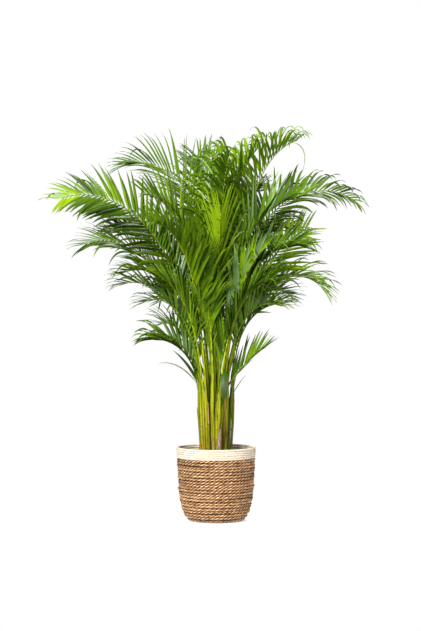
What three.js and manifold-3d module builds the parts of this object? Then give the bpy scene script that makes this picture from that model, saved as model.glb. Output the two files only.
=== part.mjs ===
// Areca palm in a seagrass basket, at its real size in millimetres, with +Z up.
// The origin is the middle of the basket's flat underside, and the front faces -Y.
// A clump of leaning canes stands on the potted soil. Two or three fronds leave the top of each cane.
// Every frond is one thin blade, cut to the rib between its leaflets.

import * as THREE from 'three';
import { mergeVertices } from 'three/addons/utils/BufferGeometryUtils.js';
import Module from 'manifold-3d';

const wasm = await Module();
wasm.setup();

const CLEAR = 0.3; // gap kept between two pieces that touch
const DEG = Math.PI / 180;

// Basket: a round tub of twisted seagrass rope with a paler rope band at its rim
const basket = {
  height: 270, // to the top of the rim band
  bandFoot: 230, // where the rim band starts
  rimRadius: 147,
  flare: 13, // how much a straight side widens from foot to rim
  corner: 29, // how far the round lower corner draws in at the ground
  cornerHeight: 35, // height over which that corner fades
  heel: 12, // how much further the lowest rows draw in, to a small foot
  heelHeight: 6,
  wall: 8,
  bandWall: 9,
  floor: 8,
  sides: 36,
  ringBend: 1.7, // how much closer together the rings inside the wall stand at its foot
  // rows of rope that show outside: height of the lowest, and their spacing and number
  rows: { first: 6.6, spacing: 10.9, count: 21, crest: 0.5, groove: 2.4 },
  bandRows: { first: 234.5, spacing: 7.8, count: 5, crest: 0.5, groove: 1.6 },
};

// Nursery pot that stands inside the basket, and the root ball of soil in it
const pot = { foot: 88, rim: 120, height: 220, wall: 2.5, lip: 3, lipHeight: 10, lipSlope: 1, sides: 36 };
const soil = { top: 215, sides: 36 };

// Canes: one clump, set out on a spiral that opens from its middle, each leaning a little outward
const clump = { x: -4, y: 0, radius: 51, canes: 16, turn: 137.5, first: 20, lean: 4 };
const cane = {
  tallest: 560,
  shortest: 450,
  foot: 9, // radii at its foot, along its waist and at its top
  waist: 7.2,
  top: 9.6,
  waistFrom: 0.12, // shares of its length
  waistTo: 0.6,
  sides: 8,
};

// Where the petioles stand on a cane's top, and the three-sided section of a rib: its radius at the
// foot and at the frond's tip, and the angles of its corners below, upper left and upper right
const petiole = { slotRadius: 5.2, slotTurn: 120, radius: 4.2, tip: 1.4, corners: [270, 150, 30] };

// Leaflets, named as shares of the blade or of a leaflet's own length
const leaflet = {
  spacing: 48, // along the rib, for each pair
  fewest: 7,
  most: 12,
  rootWidth: 15,
  rootShare: 0.6, // and at most this share of the spacing
  width: 28,
  widest: 0.42,
  thickness: 2.6,
  fullWidthLength: 150, // a shorter leaflet is slimmer in proportion
  aheadFoot: 50, // angle from the rib at the blade's foot, degrees
  aheadTip: 22,
  aheadBend: 1.2,
  footShare: 0.6, // length of the first leaflet against the longest
  rise: 1.4,
  fallFrom: 0.45,
  fallBend: 1.4,
  steps: 10, // along its middle line
  // what is tried for a leaflet that would touch another frond: degrees of lift, share of length
  changes: [
    { lift: 0, length: 1 },
    { lift: 14, length: 1 },
    { lift: -14, length: 1 },
    { lift: 0, length: 0.75 },
    { lift: 20, length: 0.6 },
    { lift: 0, length: 0.45 },
  ],
};
// What every frond has unless its row says otherwise, and how finely its rib is worked out
const blade = {
  stalk: 0.36, // share of a frond's length that is bare petiole
  lift: 35,
  sag: 0.5,
  droop: 0, // sag added towards the frond's tip
  roll: 0,
  spread: 1, // factor on the angle between leaflets and rib
  fall: 0.6, // how much shorter the last leaflet is than the longest
  curveSteps: 60,
  petioleRings: 5,
  boxSteps: 6,
};

// One row for each frond: the cane it stands on and its place there (0 outward, 1 and 2 to either
// side), its heading in degrees from +X, its length, its lean at foot and tip in degrees from
// upright, how late it bends, its longest leaflet, and what else it has of its own.
const fronds = [
  ['left_long', 9, 1, 196, 980, 10, 110, 2.5, 210, { lift: 2, roll: -55, spread: 1.4 }],
  ['left_high', 1, 2, 165, 960, 0, 107, 3.3, 212, { lift: 25, roll: -55, spread: 0.9, stalk: 0.5, sag: 0.7 }],
  ['left_mid', 4, 0, 196, 735, 20, 116, 3.0, 200, { lift: 0, roll: -35 }],
  ['left_low', 9, 2, 168, 540, 16, 112, 3.0, 180, { roll: 15, sag: 0.9 }],
  ['left_lower', 12, 2, 205, 470, 12, 122, 3.2, 150, { sag: 0.9 }],
  ['left_bottom', 9, 0, 186, 270, 12, 96, 1.5, 190, { stalk: 0.15, roll: -35, spread: 0.8, sag: 1.2 }],
  ['top_centre', 0, 0, 30, 850, 4, 44, 4.4, 260, { lift: 52, spread: 1.3, stalk: 0.44, sag: 0.9, droop: 1.8 }],
  ['top_right', 13, 1, 20, 1030, 5, 72, 5.0, 280,
    { lift: 48, spread: 1.5, stalk: 0.52, sag: 0.9, droop: 1.8, fall: 0.75 }],
  ['right_high', 8, 2, 6, 1020, 4, 126, 2.6, 180, { lift: 20, roll: 50, spread: 1.3, sag: 0.7, droop: 1.3 }],
  ['right_mid', 5, 1, 355, 650, 12, 62, 2.0, 200, { roll: 60, lift: 10, sag: 0.3, spread: 1.35 }],
  ['right_low', 5, 0, 336, 620, 15, 146, 2.5, 180, { roll: 20, sag: 1.0, spread: 0.8 }],
  ['right_lower', 10, 0, 320, 440, 9, 110, 2.4, 180, { sag: 1.0, spread: 0.75 }],
  ['right_bottom', 10, 1, 352, 215, 32, 54, 1.0, 140, { stalk: 0.12, roll: 40, spread: 0.6, sag: 0.3 }],
  ['front_left', 12, 1, 240, 780, 7, 92, 2.4, 240, { roll: -50, spread: 0.85 }],
  ['front_left_high', 4, 1, 228, 790, 5, 84, 2.6, 220, { roll: -60 }],
  ['front_centre', 7, 0, 252, 580, 7, 50, 2.0, 200, { roll: -40, spread: 0.7 }],
  ['front_bright', 2, 2, 275, 600, 3, 34, 2.0, 270, { spread: 0.6, stalk: 0.28, sag: 0.4 }],
  ['front_pale', 10, 2, 305, 600, 8, 62, 1.9, 190, { lift: 50, spread: 0.42, sag: 0.3, stalk: 0.34 }],
  ['front_right', 15, 1, 325, 560, 8, 66, 2.0, 190, { roll: 50, spread: 0.7 }],
  ['front_low_left', 12, 0, 222, 520, 8, 74, 2.2, 180, { roll: -45, spread: 0.7 }],
  ['front_low_right', 15, 0, 318, 530, 8, 78, 2.2, 170, { roll: 45, spread: 0.7 }],
  ['back_right', 8, 1, 50, 860, 8, 110, 2.3, 200, {}],
  ['back_high_right', 3, 2, 60, 850, 4, 88, 2.8, 210, {}],
  ['back_middle', 11, 0, 95, 800, 13, 110, 2.3, 200, {}],
  ['back_high_left', 3, 1, 112, 880, 0, 56, 3.4, 240, { roll: -30, lift: 40, spread: 1.1 }],
  ['back_left', 6, 2, 122, 850, 9, 110, 2.4, 200, {}],
  ['back_far_left', 6, 1, 168, 760, 7, 100, 2.4, 180, { roll: 20 }],
  ['back_low_right', 8, 0, 42, 550, 15, 125, 2.4, 180, { spread: 0.8 }],
  ['back_low_middle', 11, 2, 78, 560, 14, 130, 2.4, 170, {}],
  ['back_low_left', 14, 2, 118, 600, 14, 130, 2.4, 170, {}],
  ['side_low_left', 1, 0, 174, 560, 13, 118, 2.4, 170, {}],
  ['back_bottom', 14, 0, 130, 400, 16, 110, 2.4, 150, {}],
  ['side_high_right', 2, 0, 338, 780, 6, 84, 2.6, 210, { roll: 45 }],
  ['side_mid_right', 5, 2, 328, 660, 8, 104, 2.4, 200, { roll: 45, spread: 0.8 }],
  ['side_mid_left', 4, 2, 178, 710, 9, 100, 2.5, 200, { roll: -40 }],
  ['side_low_right', 13, 0, 5, 430, 2, 96, 2.3, 170, { roll: 20, spread: 0.75 }],
  ['top_front', 0, 2, 285, 800, -1, 40, 2.4, 260, { roll: 75, lift: 45, spread: 1.3, sag: 0.9, droop: 1.5 }],
  ['stub_left', 7, 2, 240, 360, 8, 38, 1.5, 140, { spread: 0.4, stalk: 0.3 }],
  ['stub_middle', 7, 1, 275, 400, 4, 26, 1.5, 140, { spread: 0.4, stalk: 0.3 }],
  ['stub_right', 15, 2, 312, 350, 6, 36, 1.5, 140, { spread: 0.4, stalk: 0.3 }],
];

const colours = {
  seagrass: 0xb48a55,
  whiteRope: 0xeee4cf,
  pot: 0x5a4334,
  soil: 0x3a2a1e,
  cane: 0x9aa32a,
  leaves: [0x4f8a16, 0x3d7a14, 0x6da31a, 0x2f6210],
};

const part = new THREE.Group();

function addPiece(name, geometry, colour, roughness) {
  const material = new THREE.MeshStandardMaterial({ color: colour, roughness, metalness: 0 });
  const mesh = new THREE.Mesh(geometry, material);
  mesh.name = name;
  part.add(mesh);
  return mesh;
}

// A turned ring or cup from [radius, height] pairs, with its axis on Z
function turned(profile, sides) {
  const points = profile.map(([radius, height]) => new THREE.Vector2(radius, height));
  return new THREE.LatheGeometry(points, sides).rotateX(Math.PI / 2);
}

// Basket

// Outer radius at a height: a straight flare, less a round corner and a heel that fade upward
function basketRadius(height) {
  const straight = basket.rimRadius - basket.flare * (1 - height / basket.height);
  const corner = basket.corner * Math.exp(-height / basket.cornerHeight);
  return straight - corner - basket.heel * Math.exp(-height / basket.heelHeight);
}

// Outer radii of the wall from one height to another, closest together at the bottom
function wallCurve(from, to, steps, inset) {
  const curve = [];
  for (let i = 0; i <= steps; i += 1) {
    const height = from + (to - from) * (i / steps) ** basket.ringBend;
    curve.push([basketRadius(height) - inset, height]);
  }
  return curve;
}

// Outside of a wall of rope rows, one above the other: each row stands out of the wall's line at
// its middle, and a groove lies behind that line between two rows
function ropeRows({ first, spacing, count, crest, groove }) {
  const curve = [];
  for (let i = 0; i < count; i += 1) {
    const height = first + spacing * i;
    curve.push([basketRadius(height) + crest, height]);
    if (i + 1 < count) {
      curve.push([basketRadius(height + spacing / 2) - groove, height + spacing / 2]);
    }
  }
  return curve;
}

function makeBasket() {
  const top = basket.bandFoot - CLEAR;
  const outside = [
    [basketRadius(0), 0],
    ...ropeRows(basket.rows),
    [basketRadius(top) - basket.rows.groove, top],
  ];
  const inside = wallCurve(basket.floor, basket.bandFoot - CLEAR, 4, basket.wall).reverse();
  return turned([[0, 0], ...outside, ...inside, [0, basket.floor]], basket.sides);
}

function makeRimBand() {
  const { bandFoot, height, bandRows } = basket;
  const outside = [
    [basketRadius(bandFoot) - bandRows.groove, bandFoot],
    ...ropeRows(bandRows),
    [basketRadius(height) - bandRows.groove, height],
  ];
  const inside = wallCurve(basket.bandFoot, basket.height, 1, basket.bandWall).reverse();
  return turned([...outside, ...inside, outside[0]], basket.sides);
}

addPiece('basket', makeBasket(), colours.seagrass, 0.85);
addPiece('rim_band', makeRimBand(), colours.whiteRope, 0.9);

// Nursery pot and soil

const potFoot = basket.floor + CLEAR;

function potRadius(height) {
  return pot.foot + (pot.rim - pot.lip - pot.foot) * ((height - potFoot) / pot.height);
}

function makePot() {
  const top = potFoot + pot.height;
  const lipFoot = top - pot.lipHeight;
  const inside = pot.wall;
  const floorTop = potFoot + pot.wall;
  return turned([
    [0, potFoot],
    [pot.foot, potFoot],
    [potRadius(lipFoot), lipFoot],
    [pot.rim, lipFoot + pot.lipSlope],
    [pot.rim, top],
    [potRadius(top) - inside, top],
    [potRadius(floorTop) - inside, floorTop],
    [0, floorTop],
  ], pot.sides);
}

function makeSoil() {
  const foot = potFoot + pot.wall + CLEAR;
  const inset = pot.wall + 2 * CLEAR;
  return turned([
    [0, foot],
    [potRadius(foot) - inset, foot],
    [potRadius(soil.top) - inset, soil.top],
    [0, soil.top],
  ], soil.sides);
}

addPiece('nursery_pot', makePot(), colours.pot, 0.6);
addPiece('soil', makeSoil(), colours.soil, 1);

// Canes

// Where a cane stands and points, and how long it is
function canePlace(index) {
  const heading = (clump.first + clump.turn * index) * DEG;
  const radius = clump.radius * Math.sqrt((index + 0.5) / clump.canes);
  const lean = clump.lean * DEG * radius / clump.radius;
  const topHeight = cane.tallest - (cane.tallest - cane.shortest) * index / (clump.canes - 1);
  const out = new THREE.Vector3(Math.cos(heading), Math.sin(heading), 0);
  const lift = CLEAR + cane.foot * Math.sin(lean);
  const foot = new THREE.Vector3(clump.x, clump.y, soil.top + lift).addScaledVector(out, radius);
  const axis = new THREE.Vector3(0, 0, Math.cos(lean)).addScaledVector(out, Math.sin(lean));
  const length = (topHeight - foot.z) / axis.z;
  return { heading, foot, axis, length, top: foot.clone().addScaledVector(axis, length) };
}

const canePlaces = Array.from({ length: clump.canes }, (_, index) => canePlace(index));

// A cane swells at its foot and where the petioles part at its top
function makeCane(length) {
  return turned([
    [0, 0],
    [cane.foot, 0],
    [cane.waist, length * cane.waistFrom],
    [cane.waist, length * cane.waistTo],
    [cane.top, length],
    [0, length],
  ], cane.sides);
}

canePlaces.forEach((place, index) => {
  const name = `cane_${String(index + 1).padStart(2, '0')}`;
  const mesh = addPiece(name, makeCane(place.length), colours.cane, 0.5);
  mesh.quaternion.setFromUnitVectors(new THREE.Vector3(0, 0, 1), place.axis);
  mesh.position.copy(place.foot);
});

// Fronds

// The named sizes of one row, with the middle line of its rib
function readFrond([name, caneIndex, slot, heading, length, leanFoot, leanTip, bend, longest, own]) {
  const place = canePlaces[caneIndex];
  const slotHeading = place.heading + slot * petiole.slotTurn * DEG;
  const beside = new THREE.Vector3(Math.cos(slotHeading), Math.sin(slotHeading), 0);
  beside.addScaledVector(place.axis, -beside.dot(place.axis)).setLength(petiole.slotRadius);
  const foot = place.top.clone().add(beside).addScaledVector(place.axis, CLEAR);
  const row = { ...blade, name, heading: heading * DEG, length, leanFoot, leanTip, bend, longest, ...own };
  row.caneAxis = place.axis;
  row.points = [foot];
  for (let i = 0; i < blade.curveSteps; i += 1) {
    const along = (i + 0.5) / blade.curveSteps;
    const step = tangentAt(row, along).multiplyScalar(length / blade.curveSteps);
    row.points.push(row.points[i].clone().add(step));
  }
  return row;
}

// The rib's direction: it leans over from its foot to its tip, always within one upright plane
function tangentAt(row, along) {
  const lean = (row.leanFoot + (row.leanTip - row.leanFoot) * along ** row.bend) * DEG;
  return new THREE.Vector3(
    Math.sin(lean) * Math.cos(row.heading),
    Math.sin(lean) * Math.sin(row.heading),
    Math.cos(lean),
  );
}

// Tangent, upper side and right side of the rib, turned about the rib by the frond's roll
function frameAt(row, along) {
  const tangent = along === 0 ? row.caneAxis.clone() : tangentAt(row, along);
  const right = new THREE.Vector3(Math.sin(row.heading), -Math.cos(row.heading), 0);
  right.addScaledVector(tangent, -right.dot(tangent)).normalize();
  const upper = new THREE.Vector3().crossVectors(right, tangent);
  const roll = row.roll * DEG;
  return {
    tangent,
    upper: upper.clone().multiplyScalar(Math.cos(roll)).addScaledVector(right, Math.sin(roll)),
    right: right.clone().multiplyScalar(Math.cos(roll)).addScaledVector(upper, -Math.sin(roll)),
  };
}

function pointAt(row, along) {
  const place = along * blade.curveSteps;
  const index = Math.min(Math.floor(place), blade.curveSteps - 1);
  return row.points[index].clone().lerp(row.points[index + 1], place - index);
}

// The three corners of the rib's section
function sectionAt(row, along) {
  const { upper, right } = frameAt(row, along);
  const centre = pointAt(row, along);
  const radius = petiole.radius + (petiole.tip - petiole.radius) * along;
  return petiole.corners.map((angle) => centre.clone()
    .addScaledVector(upper, radius * Math.sin(angle * DEG))
    .addScaledVector(right, radius * Math.cos(angle * DEG)));
}

// How many leaflet pairs a frond has, and where each pair starts and ends along the rib
function leafletPlaces(row) {
  const bladeShare = 1 - row.stalk;
  const pairs = Math.round(row.length * bladeShare / leaflet.spacing);
  const count = THREE.MathUtils.clamp(pairs, leaflet.fewest, leaflet.most);
  const rootShare = Math.min(leaflet.rootWidth / row.length, leaflet.rootShare * bladeShare / count);
  return Array.from({ length: count }, (_, index) => {
    const share = (index + 0.5) / count;
    const middle = row.stalk + bladeShare * share;
    return { share, start: middle - rootShare / 2, end: middle + rootShare / 2, middle };
  });
}

function leafletLength(row, share) {
  const rise = Math.min(1, leaflet.footShare + leaflet.rise * share);
  const past = Math.max(0, (share - leaflet.fallFrom) / (1 - leaflet.fallFrom));
  return row.longest * rise * (1 - row.fall * past ** leaflet.fallBend);
}

// A leaflet's middle line: it sets off ahead, sideways and up, and bends down along its length
function leafletLine(row, place, side, change) {
  const { tangent, upper, right } = frameAt(row, place.middle);
  const aheadTurn = (leaflet.aheadTip - leaflet.aheadFoot) * place.share ** leaflet.aheadBend;
  const ahead = (leaflet.aheadFoot + aheadTurn) * row.spread * DEG;
  const lift = (row.lift + change.lift) * DEG;
  const off = tangent.clone().multiplyScalar(Math.cos(ahead))
    .addScaledVector(right, side * Math.cos(lift) * Math.sin(ahead))
    .addScaledVector(upper, Math.sin(lift) * Math.sin(ahead));
  const length = leafletLength(row, place.share) * change.length;
  const sag = row.sag + row.droop * place.share ** 2;
  const points = [pointAt(row, place.middle)];
  for (let i = 0; i < leaflet.steps; i += 1) {
    const out = (i + 0.5) / leaflet.steps;
    const bent = off.clone().add(new THREE.Vector3(0, 0, -sag * out ** 3));
    points.push(points[i].clone().add(bent.setLength(length / leaflet.steps)));
  }
  return points;
}

// Corners of one leaflet beyond its root: near edge, ridge and far edge at its widest, and its tip
function leafletCorners(row, place, side, change, grow) {
  const line = leafletLine(row, place, side, change);
  const widestStep = Math.round(leaflet.widest * leaflet.steps);
  const middle = line[widestStep];
  const along = line[widestStep + 1].clone().sub(line[widestStep - 1]).normalize();
  const { tangent } = frameAt(row, place.middle);
  const across = tangent.clone().addScaledVector(along, -tangent.dot(along)).normalize();
  const out = new THREE.Vector3().crossVectors(along, across).multiplyScalar(side);
  const slimmer = Math.min(1, leafletLength(row, place.share) / leaflet.fullWidthLength);
  const half = leaflet.width / 2 * slimmer + grow;
  return {
    near: middle.clone().addScaledVector(across, -half).addScaledVector(out, -grow),
    ridge: middle.clone().addScaledVector(out, leaflet.thickness + grow),
    far: middle.clone().addScaledVector(across, half).addScaledVector(out, -grow),
    tip: line[leaflet.steps].clone().addScaledVector(along, grow),
  };
}

// Faces of a leaflet on the right side of the rib, from its root's four corners outward
function leafletFaces([nearBelow, nearAbove, farAbove, farBelow], { near, ridge, far, tip }) {
  return [
    [nearAbove, nearBelow, near],
    [nearAbove, near, ridge],
    [farAbove, nearAbove, ridge],
    [farAbove, ridge, far],
    [farBelow, farAbove, far],
    [nearBelow, farBelow, near],
    [farBelow, far, near],
    [ridge, near, tip],
    [far, ridge, tip],
    [near, far, tip],
  ];
}

function quad(a, b, c, d) {
  return [[a, b, c], [a, c, d]];
}

// The same faces for the left side of the rib, where the order of the corners turns round
function facesOn(side, faces) {
  return side > 0 ? faces : faces.map(([a, b, c]) => [a, c, b]);
}

function geometryFrom(faces) {
  const numbers = faces.flatMap((face) => face.flatMap((corner) => corner.toArray()));
  const geometry = new THREE.BufferGeometry();
  geometry.setAttribute('position', new THREE.Float32BufferAttribute(numbers, 3));
  return geometry;
}

// The four corners of a leaflet's root, on the rib's side face between two sections
function rootCorners(start, end, side) {
  const above = side > 0 ? 2 : 1;
  return [start[0], start[above], end[above], end[0]];
}

// Every face of a frond: the rib's three-sided tube, opened where a leaflet stands on it
function frondFaces(row, leaflets) {
  const sections = [];
  for (let i = 0; i < blade.petioleRings; i += 1) {
    sections.push({ corners: sectionAt(row, row.stalk * i / blade.petioleRings) });
  }
  row.places.forEach((place, pair) => {
    sections.push({ corners: sectionAt(row, place.start), pair });
    sections.push({ corners: sectionAt(row, place.end) });
  });
  const foot = sections[0].corners;
  const faces = [[foot[0], foot[2], foot[1]]];
  for (let i = 0; i + 1 < sections.length; i += 1) {
    const start = sections[i].corners;
    const end = sections[i + 1].corners;
    faces.push(...quad(start[1], start[2], end[2], end[1]));
    for (const side of [-1, 1]) {
      const root = rootCorners(start, end, side);
      const corners = leaflets.get(`${sections[i].pair}:${side}`);
      const own = corners ? leafletFaces(root, corners) : quad(root[0], root[3], root[2], root[1]);
      faces.push(...facesOn(side, own));
    }
  }
  const last = sections.at(-1).corners;
  const tip = row.points.at(-1);
  faces.push([last[0], last[1], tip], [last[1], last[2], tip], [last[2], last[0], tip]);
  return faces;
}

// Clearances

function solidFrom(geometry) {
  const bare = geometry.clone();
  bare.deleteAttribute('normal');
  bare.deleteAttribute('uv');
  const merged = mergeVertices(bare);
  return new wasm.Manifold(new wasm.Mesh({
    numProp: 3,
    vertProperties: merged.attributes.position.array,
    triVerts: new Uint32Array(merged.index.array),
  }));
}

function boxOf(geometry) {
  geometry.computeBoundingBox();
  return geometry.boundingBox;
}

// Boxes round each short stretch of a rib, so that few solids need to be compared
function ribBoxes(row) {
  const boxes = [];
  for (let i = 0; i < blade.curveSteps; i += blade.boxSteps) {
    const box = new THREE.Box3().setFromPoints(row.points.slice(i, i + blade.boxSteps + 1));
    boxes.push(box.expandByScalar(petiole.radius));
  }
  return boxes;
}

const limbs = part.children.filter((mesh) => mesh.name.startsWith('cane_')).map((mesh) => {
  mesh.updateMatrixWorld();
  const geometry = mesh.geometry.clone().applyMatrix4(mesh.matrixWorld);
  return { owner: mesh.name, solid: solidFrom(geometry), boxes: [boxOf(geometry)] };
});

const rows = fronds.map(readFrond);
rows.forEach((row) => {
  row.places = leafletPlaces(row);
  row.leaflets = new Map();
  const solid = solidFrom(geometryFrom(frondFaces(row, row.leaflets)));
  limbs.push({ owner: row.name, solid, boxes: ribBoxes(row) });
});

// True where a leaflet's solid meets a cane, or another frond's rib or leaflet
function touches(owner, solid, box) {
  return limbs.some((limb) => limb.owner !== owner
    && limb.boxes.some((other) => other.intersectsBox(box))
    && limb.solid.intersect(solid).volume() > 0);
}

// A leaflet is put in as it comes, or else raised, lowered or shorter, or else left out
function placeLeaflet(row, pair, side) {
  const place = row.places[pair];
  const root = rootCorners(sectionAt(row, place.start), sectionAt(row, place.end), side);
  for (const change of leaflet.changes) {
    const grown = leafletCorners(row, place, side, change, CLEAR);
    const closed = [...leafletFaces(root, grown), ...quad(...root)];
    const geometry = geometryFrom(facesOn(side, closed));
    const solid = solidFrom(geometry);
    const box = boxOf(geometry);
    if (!touches(row.name, solid, box)) {
      row.leaflets.set(`${pair}:${side}`, leafletCorners(row, place, side, change, 0));
      limbs.push({ owner: row.name, solid, boxes: [box] });
      return;
    }
  }
}

// Every frond takes one pair at a time, from its tip inward, so that all sides fill evenly
for (let fromTip = 1; fromTip <= leaflet.most; fromTip += 1) {
  for (const row of rows.filter(({ places }) => places.length >= fromTip)) {
    placeLeaflet(row, row.places.length - fromTip, -1);
    placeLeaflet(row, row.places.length - fromTip, 1);
  }
}

rows.forEach((row, index) => {
  const geometry = geometryFrom(frondFaces(row, row.leaflets));
  const colour = colours.leaves[index % colours.leaves.length];
  addPiece(`frond_${row.name}`, geometry, colour, 0.45);
});

export default part;
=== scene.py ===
"""Areca palm in a seagrass basket: the visible plant, pot and basket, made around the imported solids.

Everything is in metres, +Z up, with the origin in the middle of the basket's flat underside and
the front facing -Y. The sections follow the object from the ground up.
"""

import bpy
import numpy as np
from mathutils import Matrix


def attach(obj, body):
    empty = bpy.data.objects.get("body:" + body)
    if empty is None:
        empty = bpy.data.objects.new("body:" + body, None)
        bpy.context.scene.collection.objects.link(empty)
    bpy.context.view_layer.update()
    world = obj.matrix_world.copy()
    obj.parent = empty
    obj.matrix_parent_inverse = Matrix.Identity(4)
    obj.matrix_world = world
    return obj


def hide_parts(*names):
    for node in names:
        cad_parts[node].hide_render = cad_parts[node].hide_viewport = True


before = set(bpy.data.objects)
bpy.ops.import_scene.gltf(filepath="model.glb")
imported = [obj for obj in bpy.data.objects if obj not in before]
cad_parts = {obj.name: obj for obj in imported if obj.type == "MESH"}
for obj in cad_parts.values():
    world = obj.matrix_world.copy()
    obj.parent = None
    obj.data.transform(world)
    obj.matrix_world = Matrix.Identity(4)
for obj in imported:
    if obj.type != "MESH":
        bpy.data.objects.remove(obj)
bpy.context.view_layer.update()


# Seagrass basket
# A round tub coiled from twisted seagrass rope, each row stitched onto the one below it. The rope
# is four strands of dry brown leaf. A smaller coil of the same rope closes its flat bottom.

BASKET_HEIGHT = 0.270
BASKET_RADIUS = 0.147
BASKET_FLARE = 0.013
CORNER_DEPTH = 0.029
CORNER_HEIGHT = 0.035
HEEL_DEPTH = 0.012
HEEL_HEIGHT = 0.006
# the rope's radius and strands, the length of a full twist, the depth of its grooves, the sides of
# its mesh, and how deep its middle lies, as a share of its radius
SEAGRASS_ROPE = {"thick": 0.0058, "strands": 4, "lay": 0.066, "groove": 0.50, "sides": 12, "sunk": 0.86}
ROPE_UNEVEN = 0.06
ROW_FOOT = 0.0012
ROW_PITCH = 0.0109
ROWS = 21
ROW_SEGMENTS = 364
ROW_WOBBLE = 0.0010
STEADY_HEIGHT = 0.03
FLOOR_RADIUS = 0.0905
FLOOR_EYE = 0.006
FLOOR_PITCH = 0.0108
FLOOR_HEIGHT = 0.0064
FLOOR_WOBBLE = 0.0003
# a dark sheet inside the wall, painted shade behind the rows: its foot, top, depth inside the outline, wall
# and levels
SHADOW_LINING_FOOT = 0.007
SHADOW_LINING_TOP = 0.229
SHADOW_LINING_DEPTH = 0.0086
SHADOW_LINING_WALL = 0.0014
SHADOW_LINING_LEVELS = 28
TURNED_SIDES = 96
basket_chance = np.random.default_rng(11)


def basket_radius(height):
    """Outer radius at a height: a straight flare, less a round corner and a heel that fade upward."""
    straight = BASKET_RADIUS - BASKET_FLARE * (1 - height / BASKET_HEIGHT)
    corner = CORNER_DEPTH * np.exp(-height / CORNER_HEIGHT)
    return straight - corner - HEEL_DEPTH * np.exp(-height / HEEL_HEIGHT)


def soft_wave(angle, chance, size):
    """A closed wobble round a ring: five sine waves of random size and start, added up."""
    turns = np.arange(1, 6)
    sizes = chance.normal(0, size, 5) / turns
    starts = chance.uniform(0, 2 * np.pi, 5)
    return (sizes * np.sin(np.multiply.outer(angle, turns) + starts)).sum(-1)


def rope_ring(radius, height, rope, segments, wobble, chance):
    """One closed row of rope, laid level round the basket.

    A point is found from its angle round the basket and its angle round the rope. The rope's own
    radius rises over each strand as the square root of a cosine and falls to a sharp groove
    between two strands, and the strands wind round by one turn for each lay of the rope. Near the
    ground the row lies steadier.
    """
    strands, groove, sides = rope["strands"], rope["groove"], rope["sides"]
    round_basket = np.arange(segments) / segments * 2 * np.pi + np.pi / 2
    round_rope = np.arange(sides) / sides * 2 * np.pi
    turns = max(1, round(2 * np.pi * radius / rope["lay"]))
    wind = turns * round_basket + chance.uniform(0, 2 * np.pi)
    strand = (round_rope[None, :] - wind[:, None]) * strands / 2
    swell = 1 + soft_wave(round_basket, chance, ROPE_UNEVEN)[:, None]
    own = rope["thick"] * swell * (1 - groove + groove * np.sqrt(np.abs(np.cos(strand))))
    wobble = wobble * min(1, height / STEADY_HEIGHT)
    out = radius + soft_wave(round_basket, chance, wobble)[:, None] + own * np.cos(round_rope)
    up = height + soft_wave(round_basket, chance, wobble)[:, None] + own * np.sin(round_rope)
    points = np.stack([out * np.cos(round_basket)[:, None], out * np.sin(round_basket)[:, None], up], -1)
    # each corner's place: metres along the rope, and strands counted round it along the twist
    step = np.arange(segments)[:, None, None] + np.array([0, 1, 1, 0])
    side = np.arange(sides)[None, :, None] + np.array([0, 0, 1, 1])
    step, side = np.broadcast_arrays(step, side)
    along = step / segments * 2 * np.pi * radius + chance.uniform(0, 40)
    across = strands * (side / sides - turns * step / segments)
    return points.reshape(-1, 3), lattice(segments, sides, True, True, True), np.stack([along, across], -1)


def lattice(rows, columns, join_rows, join_columns, turn=False):
    """Four-sided faces of a grid of points, joined end to end and turned over where asked."""
    row = np.arange(rows if join_rows else rows - 1)[:, None]
    column = np.arange(columns if join_columns else columns - 1)[None, :]
    next_row = (row + 1) % rows
    next_column = (column + 1) % columns
    corners = [row * columns + column, row * columns + next_column,
               next_row * columns + next_column, next_row * columns + column]
    if turn:
        corners = [corners[0], *corners[:0:-1]]
    return np.stack(corners, -1).reshape(-1, 4).tolist()


def placed(name, data):
    """A new object in the scene that holds a mesh, a lamp or a camera."""
    thing = bpy.data.objects.new(name, data)
    bpy.context.scene.collection.objects.link(thing)
    return thing


def make_piece(name, shapes, material, nodes=(), smooth=True):
    """A piece of many shapes, each given as its points, its faces and, if it has them, its places.

    It rides on the plant's one body, and replaces the CAD nodes that are named for it.
    """
    points, faces, places, before = [], [], [], 0
    for shape in shapes:
        points.append(shape[0])
        faces += [[corner + before for corner in face] for face in shape[1]]
        places += [shape[2].reshape(-1, 2)] if len(shape) > 2 else []
        before += len(shape[0])
    mesh = bpy.data.meshes.new(name)
    mesh.from_pydata(np.concatenate(points).tolist(), [], faces)
    if places:
        layer = mesh.uv_layers.new(name="laid")
        layer.data.foreach_set("uv", np.concatenate(places).astype(np.float32).ravel())
    mesh.polygons.foreach_set("use_smooth", [smooth] * len(mesh.polygons))
    mesh.materials.append(material)
    piece = placed(name, mesh)
    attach(piece, "root")
    if nodes:
        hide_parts(*nodes)


def new_material(name, roughness, specular):
    """A node material, its tree to add to, and its shader at that roughness and specular level."""
    material = bpy.data.materials.new(name)
    material.use_nodes = True
    shader = material.node_tree.nodes["Principled BSDF"]
    shader.inputs["Roughness"].default_value = roughness
    shader.inputs["Specular IOR Level"].default_value = specular
    return material, material.node_tree, shader


def object_place(tree):
    """Where a point is on the object, in metres."""
    return tree.nodes.new("ShaderNodeTexCoord").outputs["Object"]


def laid_place(tree):
    """Where a point is on its rope: metres along it, and strands counted round it."""
    return tree.nodes.new("ShaderNodeUVMap").outputs["UV"]


def part_of(tree, vector, axis):
    """One axis of a vector, as a number."""
    parts = tree.nodes.new("ShaderNodeSeparateXYZ")
    tree.links.new(vector, parts.inputs["Vector"])
    return parts.outputs[axis]


def worked(tree, operation, value, other=0.0):
    """A number put through that operation, with a second number where it needs one."""
    node = tree.nodes.new("ShaderNodeMath")
    node.operation = operation
    node.inputs[1].default_value = other
    tree.links.new(value, node.inputs[0])
    return node.outputs["Value"]


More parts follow.
